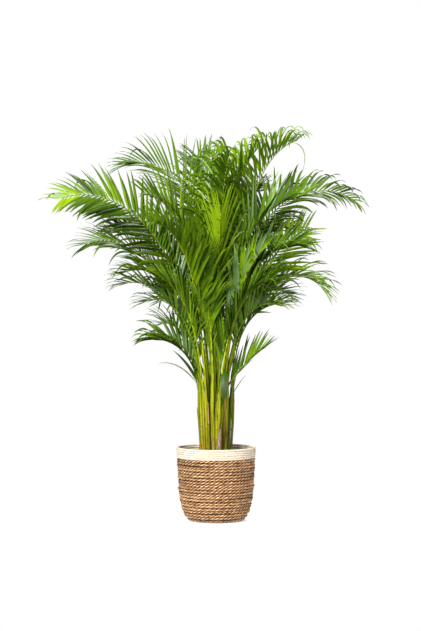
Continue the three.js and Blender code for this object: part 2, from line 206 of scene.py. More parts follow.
def ramp(tree, factor, stops):
    """Colours that pass from stop to stop, each stop a place from 0 to 1 and its colour."""
    node = tree.nodes.new("ShaderNodeValToRGB")
    tree.links.new(factor, node.inputs["Fac"])
    elements = node.color_ramp.elements
    while len(elements) < len(stops):
        elements.new(0.5)
    for element, (place, colour) in zip(elements, stops):
        element.position = place
        element.color = (*colour, 1)
    return node.outputs["Color"]


def stretched_noise(tree, coordinates, scale, stretch, detail):
    """Cloudy noise, drawn out along the axes where the stretch is small."""
    mapping = tree.nodes.new("ShaderNodeMapping")
    mapping.inputs["Scale"].default_value = stretch
    tree.links.new(coordinates, mapping.inputs["Vector"])
    noise = tree.nodes.new("ShaderNodeTexNoise")
    noise.inputs["Scale"].default_value = scale
    noise.inputs["Detail"].default_value = detail
    tree.links.new(mapping.outputs["Vector"], noise.inputs["Vector"])
    return noise.outputs["Fac"]


def tinted(tree, first, second, share):
    """The first colour multiplied by the second, by that share."""
    mix = tree.nodes.new("ShaderNodeMix")
    mix.data_type = "RGBA"
    mix.blend_type = "MULTIPLY"
    mix.inputs["Factor"].default_value = share
    tree.links.new(first, mix.inputs["A"])
    tree.links.new(second, mix.inputs["B"])
    return mix.outputs["Result"]


def bumped(tree, shader, height, strength, depth):
    """Relief on a shader, from a height from 0 to 1."""
    bump = tree.nodes.new("ShaderNodeBump")
    bump.inputs["Strength"].default_value = strength
    bump.inputs["Distance"].default_value = depth
    tree.links.new(height, bump.inputs["Height"])
    tree.links.new(bump.outputs["Normal"], shader.inputs["Normal"])


def seagrass_material():
    """Dry seagrass: fibres drawn out along each strand, from dark brown to straw.

    It carries painted shade in the grooves between strands, where the cosine across a strand nears
    nothing, and painted shade between one row and the next, broader on each row's lower side.
    """
    material, tree, shader = new_material("seagrass_rope", 0.62, 0.35)
    laid = laid_place(tree)
    fibres = stretched_noise(tree, laid, 1.0, (55, 5, 1), 6)
    patches = stretched_noise(tree, laid, 1.0, (14, 0.9, 1), 2)
    fibre_colour = ramp(tree, fibres, [(0.32, (0.11, 0.042, 0.012)), (0.43, (0.38, 0.175, 0.064)),
                                       (0.54, (0.78, 0.46, 0.205)), (0.64, (1.0, 0.84, 0.58))])
    patch_colour = ramp(tree, patches, [(0.34, (0.50, 0.42, 0.34)), (0.50, (0.92, 0.87, 0.80)),
                                        (0.68, (1.0, 1.0, 0.98))])
    colour = tinted(tree, fibre_colour, patch_colour, 1.0)
    wave = worked(tree, "COSINE", worked(tree, "MULTIPLY", part_of(tree, laid, "Y"), np.pi))
    crest = worked(tree, "ABSOLUTE", wave)
    # painted shade in the grooves between strands, darkest where the cosine across a strand nears nothing
    groove = ramp(tree, crest, [(0.0, (0.01, 0.005, 0.003)), (0.48, (0.15, 0.09, 0.05)), (0.82, (1, 1, 1))])
    place = object_place(tree)
    # painted shade between the rows: dark where two rows meet, broader on each row's lower side
    rows = worked(tree, "DIVIDE", worked(tree, "SUBTRACT", part_of(tree, place, "Z"), ROW_FOOT), ROW_PITCH)
    shade = ramp(tree, worked(tree, "FRACT", rows), [
        (0.0, (0.10, 0.055, 0.025)), (0.12, (0.36, 0.25, 0.16)), (0.32, (0.97, 0.95, 0.92)),
        (0.88, (1, 1, 1)), (1.0, (0.34, 0.23, 0.14))])
    colour = tinted(tree, colour, groove, 1.0)
    tree.links.new(tinted(tree, colour, shade, 1.0), shader.inputs["Base Color"])
    bumped(tree, shader, fibres, 0.9, 0.0016)
    return material


def grained_material(name, gloss, noise, stops, relief, place=object_place):
    """A skin of one noise: its colour runs through the stops, and its relief follows the noise.

    Gloss is roughness and specular level, noise is scale, stretch and detail, and relief is
    strength and depth.
    """
    material, tree, shader = new_material(name, *gloss)
    grain = stretched_noise(tree, place(tree), *noise)
    tree.links.new(ramp(tree, grain, stops), shader.inputs["Base Color"])
    bumped(tree, shader, grain, *relief)
    return material


def turned_shape(profile):
    """A closed profile of radius and height, turned round the upright axis."""
    angle = np.arange(TURNED_SIDES)[:, None] / TURNED_SIDES * 2 * np.pi
    radius, height = np.array(profile).T
    points = np.stack([radius * np.cos(angle), radius * np.sin(angle),
                       np.broadcast_to(height, (TURNED_SIDES, len(height)))], -1)
    return points.reshape(-1, 3), lattice(TURNED_SIDES, len(profile), True, True, True)


def shadow_lining_material():
    """Painted shade: dark brown fibre for the rows' shaded backs, seen only through the chinks between them.
    """
    stops = [(0.35, (0.030, 0.013, 0.005)), (0.65, (0.11, 0.055, 0.024))]
    return grained_material("seagrass_shade", (0.9, 0.1), (1.0, (40, 40, 300), 4), stops, (0.5, 0.001))


def wall_row(height, rope, wobble, chance):
    """A row of the wall, its middle a little inside the basket's outline."""
    radius = basket_radius(height) - rope["thick"] * rope["sunk"]
    return rope_ring(radius, height, rope, ROW_SEGMENTS, wobble, chance)


seagrass = seagrass_material()
wall_rows = [wall_row(height, SEAGRASS_ROPE, ROW_WOBBLE, basket_chance)
             for height in ROW_FOOT + ROW_PITCH * (0.5 + np.arange(ROWS))]
make_piece("basket_wall", wall_rows, seagrass, ["basket"])

# a dark sheet of painted shade just inside the rows, seen through the chinks between them
shadow_lining_profile = [(basket_radius(height) - SHADOW_LINING_DEPTH, height)
                  for height in np.linspace(SHADOW_LINING_FOOT, SHADOW_LINING_TOP, SHADOW_LINING_LEVELS)]
shadow_lining_profile += [(radius - SHADOW_LINING_WALL, height) for radius, height in shadow_lining_profile[::-1]]
make_piece("basket_shadow_lining", [turned_shape(shadow_lining_profile[::-1])], shadow_lining_material())

floor_rows = [
    rope_ring(radius, FLOOR_HEIGHT, SEAGRASS_ROPE, int(24 + 3000 * radius), FLOOR_WOBBLE, basket_chance)
    for radius in np.arange(FLOOR_RADIUS, FLOOR_EYE, -FLOOR_PITCH)
]
make_piece("basket_floor", floor_rows, seagrass)


# White rope rim
# Five finer rows of off-white rope finish the basket's top edge. They are smooth and even, and
# the edge is a little uneven by hand.

RIM_ROPE = {"thick": 0.0041, "strands": 3, "lay": 0.030, "groove": 0.08, "sides": 14, "sunk": 0.8}
RIM_ROWS = 5
RIM_FOOT = 0.2345
RIM_PITCH = 0.0078
RIM_WOBBLE = 0.00045
rim_chance = np.random.default_rng(5)


def white_rope_material():
    """Off-white rope: a soft cream with faint straw lines along it."""
    stops = [(0.30, (0.34, 0.25, 0.155)), (0.46, (0.60, 0.515, 0.395)), (0.65, (0.73, 0.665, 0.565))]
    return grained_material("white_rope", (0.8, 0.25), (1.0, (60, 9, 1), 5), stops, (0.4, 0.0006), laid_place)


rim_rows = [wall_row(height, RIM_ROPE, RIM_WOBBLE, rim_chance)
            for height in RIM_FOOT + RIM_PITCH * np.arange(RIM_ROWS)]
make_piece("basket_rim", rim_rows, white_rope_material(), ["rim_band"])


# Nursery pot
# The plain thin plastic pot that the palm was grown in. It stands inside the basket, and only
# its rolled lip can be seen from above.

POT_FOOT = 0.0083
POT_HEIGHT = 0.220
POT_FOOT_RADIUS = 0.088
POT_TOP_RADIUS = 0.117
POT_WALL = 0.0025
POT_FLOOR = 0.012
LIP_RADIUS = 0.1200
LIP_HEIGHT = 0.010
AXIS_GAP = 0.0006


def pot_radius(height):
    """Outer radius of the pot's straight tapered side at a height."""
    return POT_FOOT_RADIUS + (POT_TOP_RADIUS - POT_FOOT_RADIUS) * (height - POT_FOOT) / POT_HEIGHT


def plastic_material():
    """Matte dark brown moulded plastic with a fine dusty grain."""
    stops = [(0.3, (0.028, 0.018, 0.013)), (0.7, (0.060, 0.042, 0.032))]
    return grained_material("pot_plastic", (0.55, 0.4), (90, (1, 1, 1), 5), stops, (0.15, 0.0005))


pot_top = POT_FOOT + POT_HEIGHT
lip_foot = pot_top - LIP_HEIGHT
pot_profile = [
    (AXIS_GAP, POT_FOOT), (POT_FOOT_RADIUS - 0.004, POT_FOOT), (POT_FOOT_RADIUS - 0.0002, POT_FOOT + 0.002),
    (pot_radius(lip_foot), lip_foot), (LIP_RADIUS - 0.0012, lip_foot + 0.0006),
    (LIP_RADIUS, lip_foot + 0.0022), (LIP_RADIUS, pot_top - 0.0014), (LIP_RADIUS - 0.0010, pot_top),
    (pot_radius(pot_top) - 0.0014, pot_top), (pot_radius(pot_top) - POT_WALL, pot_top - 0.0014),
    (pot_radius(POT_FLOOR) - POT_WALL, POT_FLOOR), (AXIS_GAP, POT_FLOOR - 0.0012),
]
make_piece("nursery_pot_shell", [turned_shape(pot_profile[::-1])], plastic_material(),
           ["nursery_pot"])


# Potting soil
# Moist dark soil with crumbs, bark chips and a little white perlite fills the nursery pot to
# just under its lip.

SOIL_TOP = 0.215
SOIL_FOOT = 0.0125
SOIL_RADIUS = 0.1128
SOIL_FOOT_RADIUS = 0.0875
SOIL_EDGE = 0.004
SOIL_RINGS = 58
SOIL_SEGMENTS = 168
CRUMB_REACH = 0.105
CRUMB_LIFT = 0.0016
soil_chance = np.random.default_rng(23)


def soil_shape():
    """The root ball: a tapered plug whose top rises and falls by crossing waves of random size."""
    rings = np.concatenate([np.linspace(AXIS_GAP, SOIL_RADIUS, SOIL_RINGS),
                            [SOIL_RADIUS, SOIL_FOOT_RADIUS, AXIS_GAP]])
    level = np.concatenate([np.full(SOIL_RINGS, SOIL_TOP), [SOIL_TOP - SOIL_EDGE, SOIL_FOOT, SOIL_FOOT]])
    angle = np.arange(SOIL_SEGMENTS)[None, :] / SOIL_SEGMENTS * 2 * np.pi
    x = rings[:, None] * np.cos(angle)
    y = rings[:, None] * np.sin(angle)
    lumps = np.zeros_like(x)
    for size, wave in ((0.0011, 90), (0.0009, 210), (0.0008, 420), (0.0006, 800)):
        for _ in range(7):
            heading, start = soil_chance.uniform(0, 2 * np.pi, 2)
            reach = wave * soil_chance.uniform(0.7, 1.3)
            lumps += size * np.sin(reach * (x * np.cos(heading) + y * np.sin(heading)) + start) / 2
    on_top = np.arange(len(rings))[:, None] < SOIL_RINGS
    points = np.stack([x, y, level[:, None] + np.where(on_top, lumps, 0)], -1)
    return points.reshape(-1, 3), lattice(len(rings), SOIL_SEGMENTS, False, True)


def crumb_shapes(count, size, flat):
    """Loose crumbs on the soil: eight-cornered lumps with uneven corners, turned any way.

    A crumb's distance from the middle is the square root of a random share, so that they lie
    evenly over the round.
    """
    corners = np.array([[x, y, z] for x in (-1, 1) for y in (-1, 1) for z in (-1, 1)], float)
    faces = [[0, 1, 3, 2], [4, 6, 7, 5], [0, 4, 5, 1], [2, 3, 7, 6], [0, 2, 6, 4], [1, 5, 7, 3]]
    shapes = []
    for _ in range(count):
        half = size * soil_chance.uniform(0.5, 1.0) * np.array([1, soil_chance.uniform(0.4, 0.8), flat])
        lump = corners * half * soil_chance.uniform(0.6, 1.0, (8, 3))
        turn = soil_chance.uniform(0, 2 * np.pi)
        distance = CRUMB_REACH * np.sqrt(soil_chance.uniform(0.02, 1))
        heading = soil_chance.uniform(0, 2 * np.pi)
        x = lump[:, 0] * np.cos(turn) - lump[:, 1] * np.sin(turn) + distance * np.cos(heading)
        y = lump[:, 0] * np.sin(turn) + lump[:, 1] * np.cos(turn) + distance * np.sin(heading)
        shapes.append((np.stack([x, y, lump[:, 2] + SOIL_TOP + CRUMB_LIFT], -1), faces))
    return shapes


def crumbly_material(name, dark, light):
    """Earth or bark: broken colour from dark to light over a coarse and a fine grain."""
    stops = [(0.35, dark), (0.62, light)]
    return grained_material(name, (0.9, 0.2), (160, (1, 1, 1), 8), stops, (0.8, 0.002))


make_piece("soil_top", [soil_shape()],
           crumbly_material("potting_soil", (0.016, 0.010, 0.006), (0.075, 0.048, 0.030)),
           ["soil"])
make_piece("bark_chips", crumb_shapes(count=320, size=0.0062, flat=0.35),
           crumbly_material("bark_chip", (0.055, 0.028, 0.014), (0.19, 0.105, 0.055)),
           smooth=False)
make_piece("perlite_grains", crumb_shapes(count=70, size=0.0022, flat=0.8),
           crumbly_material("perlite", (0.55, 0.53, 0.49), (0.80, 0.78, 0.74)),
           smooth=False)


# Canes
# Sixteen slender jointed stems, yellow-green and smooth, with a thin scar at each joint. They
# rise in one clump on a spiral that opens from its middle, and each leans a little outward.

# a cane keeps this much clear of the soil, and a stalk of its cane
CLEAR = 0.0003
CANES = 16
CLUMP = (-0.004, 0.0)
CLUMP_RADIUS = 0.051
CLUMP_LEAN = 4
SPIRAL_START = 20
SPIRAL_TURN = 137.5
TALLEST_TOP = 0.560
SHORTEST_TOP = 0.450
CANE_RADIUS = 0.0070
CANE_FOOT_SWELL = 0.0020
CANE_TOP_SWELL = 0.0018
CANE_BOW = 0.004
CANE_SIDES = 16
CANE_SHOULDER = 0.03
JOINTS = 8
JOINTS_END = 0.10
JOINT_SWELL = 0.0006
JOINT_GAP = 0.022
JOINT_GAP_GROWTH = 0.006
SKIN_FOOT = 0.21
SKIN_TOP = 0.66
cane_chance = np.random.default_rng(31)
cane_bows = cane_chance.uniform(-1, 1, CANES)
cane_gaps = cane_chance.uniform(-0.005, 0.006, (CANES, JOINTS))


def cane_place(index):
    """Foot, direction, top and heading of a cane: the spiral turns by 137.5 degrees for each one.

    Its distance from the middle grows as the square root of its number, and its lean as that
    distance.
    """
    heading = np.radians(SPIRAL_START + SPIRAL_TURN * index)
    radius = CLUMP_RADIUS * np.sqrt((index + 0.5) / CANES)
    lean = np.radians(CLUMP_LEAN) * radius / CLUMP_RADIUS
    out = np.array([np.cos(heading), np.sin(heading), 0])
    top_height = TALLEST_TOP - (TALLEST_TOP - SHORTEST_TOP) * index / (CANES - 1)
    lift = CLEAR + (CANE_RADIUS + CANE_FOOT_SWELL) * np.sin(lean)
    foot = np.array([*CLUMP, SOIL_TOP + lift]) + out * radius
    axis = out * np.sin(lean) + np.array([0, 0, np.cos(lean)])
    length = (top_height - foot[2]) / axis[2]
    return {"heading": heading, "foot": foot, "axis": axis, "length": length,
            "top": foot + axis * length}


def across_axes(axis):
    """Two directions square to an axis and to each other, in right-handed order with it."""
    first = np.cross([0.0, 1.0, 0.0], axis)
    first /= np.linalg.norm(first)
    return first, np.cross(axis, first)


def capped_faces(rings, sides):
    """Faces of a tube of that many rings, with one face to close either end."""
    last = (rings - 1) * sides
    ends = [list(range(sides))[::-1], [last + side for side in range(sides)]]
    return lattice(rings, sides, False, True) + ends


def tube_shape(line, radii, first, second, sides, wide=1.0):
    """A closed tube: a ring of that radius round each point of its line, capped at both ends."""
    angle = np.arange(sides) / sides * 2 * np.pi
    first = np.broadcast_to(first, line.shape)[:, None, :]
    second = np.broadcast_to(second, line.shape)[:, None, :]
    ring = np.cos(angle)[None, :, None] * first * wide + np.sin(angle)[None, :, None] * second
    points = line[:, None, :] + radii[:, None, None] * ring
    return points.reshape(-1, 3), capped_faces(len(line), sides)


def stem_material(name, base, top, blush, speckle):
    """Smooth stem skin: it passes from its foot's colour to its top's, with streaks and specks.

    The blush is its colour a little under half way up.
    """
    material, tree, shader = new_material(name, 0.40, 0.22)
    place = object_place(tree)
    spread = tree.nodes.new("ShaderNodeMapRange")
    spread.inputs["From Min"].default_value = SKIN_FOOT
    spread.inputs["From Max"].default_value = SKIN_TOP
    tree.links.new(part_of(tree, place, "Z"), spread.inputs["Value"])
    skin = ramp(tree, spread.outputs["Result"], [(0.0, base), (0.45, blush), (1.0, top)])
    streaks = stretched_noise(tree, place, 1.0, (260, 260, 8), 4)
    streak_colour = ramp(tree, streaks, [(0.36, (0.22, 0.20, 0.12)), (0.49, (1, 1, 1)),
                                         (0.64, (1.45, 1.35, 0.80))])
    colour = tinted(tree, skin, streak_colour, 0.9)
    specks = stretched_noise(tree, place, 420, (1, 1, 0.5), 2)
    speck_colour = ramp(tree, specks, [(0.60, (1, 1, 1)), (0.70, speckle)])
    tree.links.new(tinted(tree, colour, speck_colour, 0.7), shader.inputs["Base Color"])
    bumped(tree, shader, streaks, 0.12, 0.0008)
    return material


# each skin's colour at the foot, at the top and between them, and its specks
CANE_SKINS = {
    "lime": ((0.26, 0.20, 0.010), (0.24, 0.31, 0.006), (0.30, 0.29, 0.006), (0.45, 0.30, 0.16)),
    "olive": ((0.13, 0.105, 0.010), (0.11, 0.17, 0.006), (0.13, 0.145, 0.006), (0.45, 0.30, 0.16)),
    "amber": ((0.22, 0.085, 0.012), (0.26, 0.25, 0.006), (0.34, 0.18, 0.010), (0.50, 0.26, 0.12)),
}
# all canes that aren't named here are lime
SKIN_OF_CANE = {0: "olive", 5: "olive", 11: "olive", 13: "olive", 10: "amber"}


def cane_radius(reach, length):
    """Radius at a distance up the cane: its foot's swelling fades, and its top widens to the sheath."""
    foot = CANE_FOOT_SWELL * np.exp(-np.maximum(reach, 0) / 0.018)
    return CANE_RADIUS + foot + CANE_TOP_SWELL * np.clip((reach / length - 0.55) / 0.4, 0, 1) ** 1.5


def cane_line(index, reach):
    """Points up the middle of a cane: straight along its axis, bowed by half a wave on the way."""
    place = cane_place(index)
    bow = CANE_BOW * cane_bows[index] * np.sin(np.pi * (reach / place["length"]).clip(0, 1))
    return place["foot"] + reach[:, None] * place["axis"] + bow[:, None] * across_axes(place["axis"])[0]


def cane_joints(index):
    """Distances of a cane's joints from its foot: close together low down, wider higher up."""
    joints = np.cumsum(JOINT_GAP + JOINT_GAP_GROWTH * np.arange(JOINTS) + cane_gaps[index])
    return joints[joints < cane_place(index)["length"] - JOINTS_END]


def cane_shape(index):
    """A cane's tube: it rings out at each joint by a bell curve, and rounds off inside its sheath."""
    place = cane_place(index)
    shoulder = place["length"] - CANE_SHOULDER
    reach = np.concatenate([np.linspace(-0.008, shoulder, 90), shoulder + np.linspace(0.004, 0.052, 12)])
    radii = cane_radius(reach, place["length"])
    radii *= np.clip(1.02 - ((reach - shoulder) / 0.062).clip(0) ** 2, 0.25, 1)
    for joint in cane_joints(index):
        radii += JOINT_SWELL * np.exp(-((reach - joint) / 0.0016) ** 2)
    return tube_shape(cane_line(index, reach), radii, *across_axes(place["axis"]), CANE_SIDES)


def scar_shapes(index):
    """The thin rings that fallen leaves left round a cane's joints."""
    place = cane_place(index)
    shapes = []
    for joint in cane_joints(index):
        reach = joint + np.array([-0.0012, -0.0008, 0.0008, 0.0012])
        radii = cane_radius(reach, place["length"]) + np.array([0.0003, 0.0009, 0.0009, 0.0003])
        shapes.append(tube_shape(cane_line(index, reach), radii, *across_axes(place["axis"]), CANE_SIDES))
    return shapes


for skin, colours in CANE_SKINS.items():
    members = [index for index in range(CANES) if SKIN_OF_CANE.get(index, "lime") == skin]
    make_piece(f"canes_{skin}", [cane_shape(index) for index in members],
               stem_material(f"cane_{skin}", *colours),
               [f"cane_{index + 1:02d}" for index in members])
make_piece("cane_scars", [shape for index in range(CANES) for shape in scar_shapes(index)],
           crumbly_material("cane_scar", (0.10, 0.09, 0.02), (0.20, 0.19, 0.04)))


# Fronds
# Long feather leaves that part from the canes' tops. Each has a bright yellow-green stalk and
# rib, and two rows of stiff folded leaflets that point ahead and lift from it.

# cane, seat on it (0 outward, 1 and 2 to either side), heading, length, lean at foot and tip, how
# late it bends, longest leaflet, tone of its leaflets, and what else is its own
COLUMNS = ("cane", "seat", "heading", "length", "lean_foot", "lean_tip", "bend", "longest", "tone")
STUB = {"spread": 0.4, "stalk": 0.3}
FRONDS = {
    "left_long": (9, 1, 196, 0.980, 10, 110, 2.5, 0.210, "deep",
                  {"lift": 2, "roll": -55, "spread": 1.4, "tip": "bright", "wide": 1.4}),
    "left_high": (1, 2, 165, 0.960, 0, 107, 3.3, 0.212, "deep",
                  {"lift": 25, "roll": -55, "spread": 0.9, "stalk": 0.50, "sag": 0.7, "wide": 0.68}),
    "left_mid": (4, 0, 196, 0.735, 20, 116, 3.0, 0.200, "deep", {"lift": 0, "roll": -35}),
    "left_low": (9, 2, 168, 0.540, 16, 112, 3.0, 0.180, "deep", {"roll": 15, "sag": 0.9}),
    "left_lower": (12, 2, 205, 0.470, 12, 122, 3.2, 0.150, "deep", {"sag": 0.9}),
    "left_bottom": (9, 0, 186, 0.270, 12, 96, 1.5, 0.190, "deep",
                    {"stalk": 0.15, "roll": -35, "spread": 0.8, "sag": 1.2, "wide": 1.3}),
    "top_centre": (0, 0, 30, 0.850, 4, 44, 4.4, 0.260, "mid",
                   {"lift": 52, "spread": 1.3, "stalk": 0.44, "sag": 0.9, "droop": 1.8}),
    "top_right": (13, 1, 20, 1.030, 5, 72, 5.0, 0.280, "mid",
                  {"lift": 48, "spread": 1.5, "stalk": 0.52, "sag": 0.9, "droop": 1.8, "fall": 0.75}),
    "right_high": (8, 2, 6, 1.020, 4, 126, 2.6, 0.180, "dark",
                   {"lift": 20, "roll": 50, "spread": 1.3, "sag": 0.7, "droop": 1.3, "tip": "deep",
                    "wide": 1.1}),
    "right_mid": (5, 1, 355, 0.650, 12, 62, 2.0, 0.200, "fresh",
                  {"roll": 60, "lift": 10, "sag": 0.3, "spread": 1.35, "wide": 1.2}),
    "right_low": (5, 0, 336, 0.620, 15, 146, 2.5, 0.180, "mid", {"roll": 20, "sag": 1.0, "spread": 0.8}),
    "right_lower": (10, 0, 320, 0.440, 9, 110, 2.4, 0.180, "deep", {"sag": 1.0, "spread": 0.75}),
    "right_bottom": (10, 1, 352, 0.215, 32, 54, 1.0, 0.140, "deep",
                     {"stalk": 0.12, "roll": 40, "spread": 0.6, "sag": 0.3, "wide": 1.1}),
    "front_left": (12, 1, 240, 0.780, 7, 92, 2.4, 0.240, "mid", {"roll": -50, "spread": 0.85}),
    "front_left_high": (4, 1, 228, 0.790, 5, 84, 2.6, 0.220, "mid", {"roll": -60}),
    "front_centre": (7, 0, 252, 0.580, 7, 50, 2.0, 0.200, "mid", {"roll": -40, "spread": 0.7, "wide": 0.85}),
    "front_bright": (2, 2, 275, 0.600, 3, 34, 2.0, 0.270, "bright",
                     {"spread": 0.6, "stalk": 0.28, "sag": 0.4, "wide": 0.7}),
    "front_pale": (10, 2, 305, 0.600, 8, 62, 1.9, 0.190, "pale",
                   {"lift": 50, "spread": 0.42, "sag": 0.3, "stalk": 0.34, "wide": 1.2}),
    "front_right": (15, 1, 325, 0.560, 8, 66, 2.0, 0.190, "dark", {"roll": 50, "spread": 0.7}),
    "front_low_left": (12, 0, 222, 0.520, 8, 74, 2.2, 0.180, "mid",
                       {"roll": -45, "spread": 0.7, "wide": 0.85}),
    "front_low_right": (15, 0, 318, 0.530, 8, 78, 2.2, 0.170, "deep",
                        {"roll": 45, "spread": 0.7, "wide": 0.85}),
    "back_right": (8, 1, 50, 0.860, 8, 110, 2.3, 0.200, "deep", {}),
    "back_high_right": (3, 2, 60, 0.850, 4, 88, 2.8, 0.210, "deep", {"wide": 1.25}),
    "back_middle": (11, 0, 95, 0.800, 13, 110, 2.3, 0.200, "deep", {}),
    "back_high_left": (3, 1, 112, 0.880, 0, 56, 3.4, 0.240, "deep",
                       {"roll": -30, "lift": 40, "spread": 1.1, "wide": 1.2}),
    "back_left": (6, 2, 122, 0.850, 9, 110, 2.4, 0.200, "mid", {}),
    "back_far_left": (6, 1, 168, 0.760, 7, 100, 2.4, 0.180, "dark", {"roll": 20}),
    "back_low_right": (8, 0, 42, 0.550, 15, 125, 2.4, 0.180, "dark", {"spread": 0.8}),
    "back_low_middle": (11, 2, 78, 0.560, 14, 130, 2.4, 0.170, "deep", {}),
    "back_low_left": (14, 2, 118, 0.600, 14, 130, 2.4, 0.170, "dark", {}),
    "side_low_left": (1, 0, 174, 0.560, 13, 118, 2.4, 0.170, "mid", {}),
    "back_bottom": (14, 0, 130, 0.400, 16, 110, 2.4, 0.150, "mid", {}),
    "side_high_right": (2, 0, 338, 0.780, 6, 84, 2.6, 0.210, "deep", {"roll": 45, "wide": 1.1}),
    "side_mid_right": (5, 2, 328, 0.660, 8, 104, 2.4, 0.200, "deep", {"roll": 45, "spread": 0.8}),
    "side_mid_left": (4, 2, 178, 0.710, 9, 100, 2.5, 0.200, "deep", {"roll": -40}),
    "side_low_right": (13, 0, 5, 0.430, 2, 96, 2.3, 0.170, "mid", {"roll": 20, "spread": 0.75}),
    "top_front": (0, 2, 285, 0.800, -1, 40, 2.4, 0.260, "mid",
                  {"roll": 75, "lift": 45, "spread": 1.3, "sag": 0.9, "droop": 1.5}),
    "stub_left": (7, 2, 240, 0.360, 8, 38, 1.5, 0.140, "mid", STUB),
    "stub_middle": (7, 1, 275, 0.400, 4, 26, 1.5, 0.140, "mid", STUB),
    "stub_right": (15, 2, 312, 0.350, 6, 36, 1.5, 0.140, "deep", STUB),
}
# what a frond has where its row says nothing else: degrees that its leaflets lift and its rib
# rolls, sag of a leaflet and what the tip adds to it, share of bare stalk, spread of the leaflets'
# angles, fall of their length towards the tip, and their width. tip is the tone of its last ones.
USUAL = {"lift": 35, "roll": 0, "sag": 0.5, "droop": 0, "stalk": 0.36, "spread": 1, "fall": 0.6, "wide": 1}
RIB_STEPS = 60
RIB_SIDES = 8
RIB_WIDE = 0.8
RIB_FOOT_RADIUS = 0.0056
RIB_TIP_RADIUS = 0.0013
SHEATH_STEPS = 14
SHEATH_RADIUS = 0.0058
SHEATH_STAND_OFF = 0.0052
LEAFLET_SPACING = 0.0152
# degrees that a leaflet opens from the rib, at the blade's foot and at its tip
OPEN_AT_FOOT = 50
OPEN_AT_TIP = 22
LEAFLET_STEPS = 14
LEAFLET_HALF_WIDTH = 0.0062
LEAFLET_FOLD = 0.38
LEAFLET_THICK = 0.0005
LIMP_SHARE = 0.06
LIMP_SAG = 2.0
LIGHT_THROUGH = 0.2
TIP_START = 0.86
STRAY_TONES = 0.40
frond_chance = np.random.default_rng(47)


def rib_sides(frond, along):
    """Direction, upper side and right side of the rib at shares of its length.

    The rib leans over within one upright plane, by its foot's lean plus the rest of it times the
    share to the power of its bend. Both sides are turned about it by the frond's roll.
    """
    heading, turn = np.radians(frond["heading"]), np.radians(frond["roll"])
    lean = frond["lean_foot"] + (frond["lean_tip"] - frond["lean_foot"]) * along ** frond["bend"]
    lean = np.radians(lean)
    ahead = np.stack([np.sin(lean) * np.cos(heading), np.sin(lean) * np.sin(heading), np.cos(lean)], -1)
    level = np.broadcast_to([np.sin(heading), -np.cos(heading), 0.0], ahead.shape)
    raised = np.cross(level, ahead)
    return (ahead, raised * np.cos(turn) + level * np.sin(turn),
            level * np.cos(turn) - raised * np.sin(turn))


def seat_direction(place, seat):
    """Level direction of a cane's seat: the cane's own heading plus a third of a turn for each."""
    heading = place["heading"] + np.radians(120) * seat
    return np.array([np.cos(heading), np.sin(heading), 0])


def square_to(direction, other):
    """The other direction, made square to the first and one metre long."""
    across = other - direction * (other * direction).sum(-1, keepdims=True)
    return across / np.linalg.norm(across, axis=-1, keepdims=True)


def read_frond(row):
    """The named sizes of a row, with the points of its rib, from its seat on the cane's top."""
    frond = {**USUAL, **dict(zip(COLUMNS, row)), **row[-1]}
    frond.setdefault("tip", frond["tone"])
    place = cane_place(frond["cane"])
    beside = square_to(place["axis"], seat_direction(place, frond["seat"]))
    foot = place["top"] + beside * SHEATH_STAND_OFF + place["axis"] * CLEAR
    ahead, _, _ = rib_sides(frond, (np.arange(RIB_STEPS) + 0.5) / RIB_STEPS)
    steps = np.cumsum(ahead * frond["length"] / RIB_STEPS, axis=0)
    frond.update(axis=place["axis"], beside=beside, sheath=place["length"] + 0.004,
                 points=np.concatenate([foot[None], foot + steps]))
    return frond


def rib_point(frond, along):
    """The rib's point at a share of its length."""
    places = np.linspace(0, 1, RIB_STEPS + 1)
    return np.stack([np.interp(along, places, frond["points"][:, axis]) for axis in range(3)], -1)


def rib_shape(frond):
    """Stalk and rib in one tapered tube, with the sheath that clasps the cane below it.

    The sheath runs down the cane's side to the soil, and stands off from the cane a little
    further down, so that each stem looks like a bundle of two or three.
    """
    along = np.linspace(0, 1, 48)
    _, upper, right = rib_sides(frond, along)
    line = rib_point(frond, along)
    radii = RIB_FOOT_RADIUS + (RIB_TIP_RADIUS - RIB_FOOT_RADIUS) * along ** 0.6
    below = np.linspace(1, 0.02, SHEATH_STEPS)[:, None]
    stand_off = SHEATH_STAND_OFF * np.sin(np.pi / 2 * np.minimum(1, 2.2 * below))
    clasping = line[0] - frond["axis"] * below * frond["sheath"] + frond["beside"] * stand_off
    line = np.concatenate([clasping, line])
    radii = np.concatenate([np.full(SHEATH_STEPS, SHEATH_RADIUS), radii])
    upper = np.concatenate([np.repeat(upper[:1], SHEATH_STEPS, 0), upper])
    right = np.concatenate([np.repeat(right[:1], SHEATH_STEPS, 0), right])
    return tube_shape(line, radii, upper, right, RIB_SIDES, RIB_WIDE)


def leaflet_length(frond, share):
    """Longest a little way out from the blade's foot, and shorter towards the tip."""
    past = np.clip((share - 0.45) / 0.55, 0, 1)
    return frond["longest"] * np.minimum(1, 0.6 + 1.4 * share) * (1 - frond["fall"] * past ** 1.4)


def folded_rings(line, across, above, half, reach):
    """Rings of four points along a blade: two edges that fold down, and its upper and under side."""
    outward, down = across * half * 0.92, above * half * LEAFLET_FOLD
    thick = above * np.maximum(0.0002, LEAFLET_THICK * (1 - reach))[..., None]
    return np.stack([line + outward - down, line + thick, line - outward - down, line - thick], axis=-2)


def blade_outline(reach, foot, growth):
    """Share of a blade's full width: it grows quickly from the foot, holds, and ends in a point."""
    return np.minimum(1, foot + growth * reach) * (1 - reach ** 2.6) ** 0.9


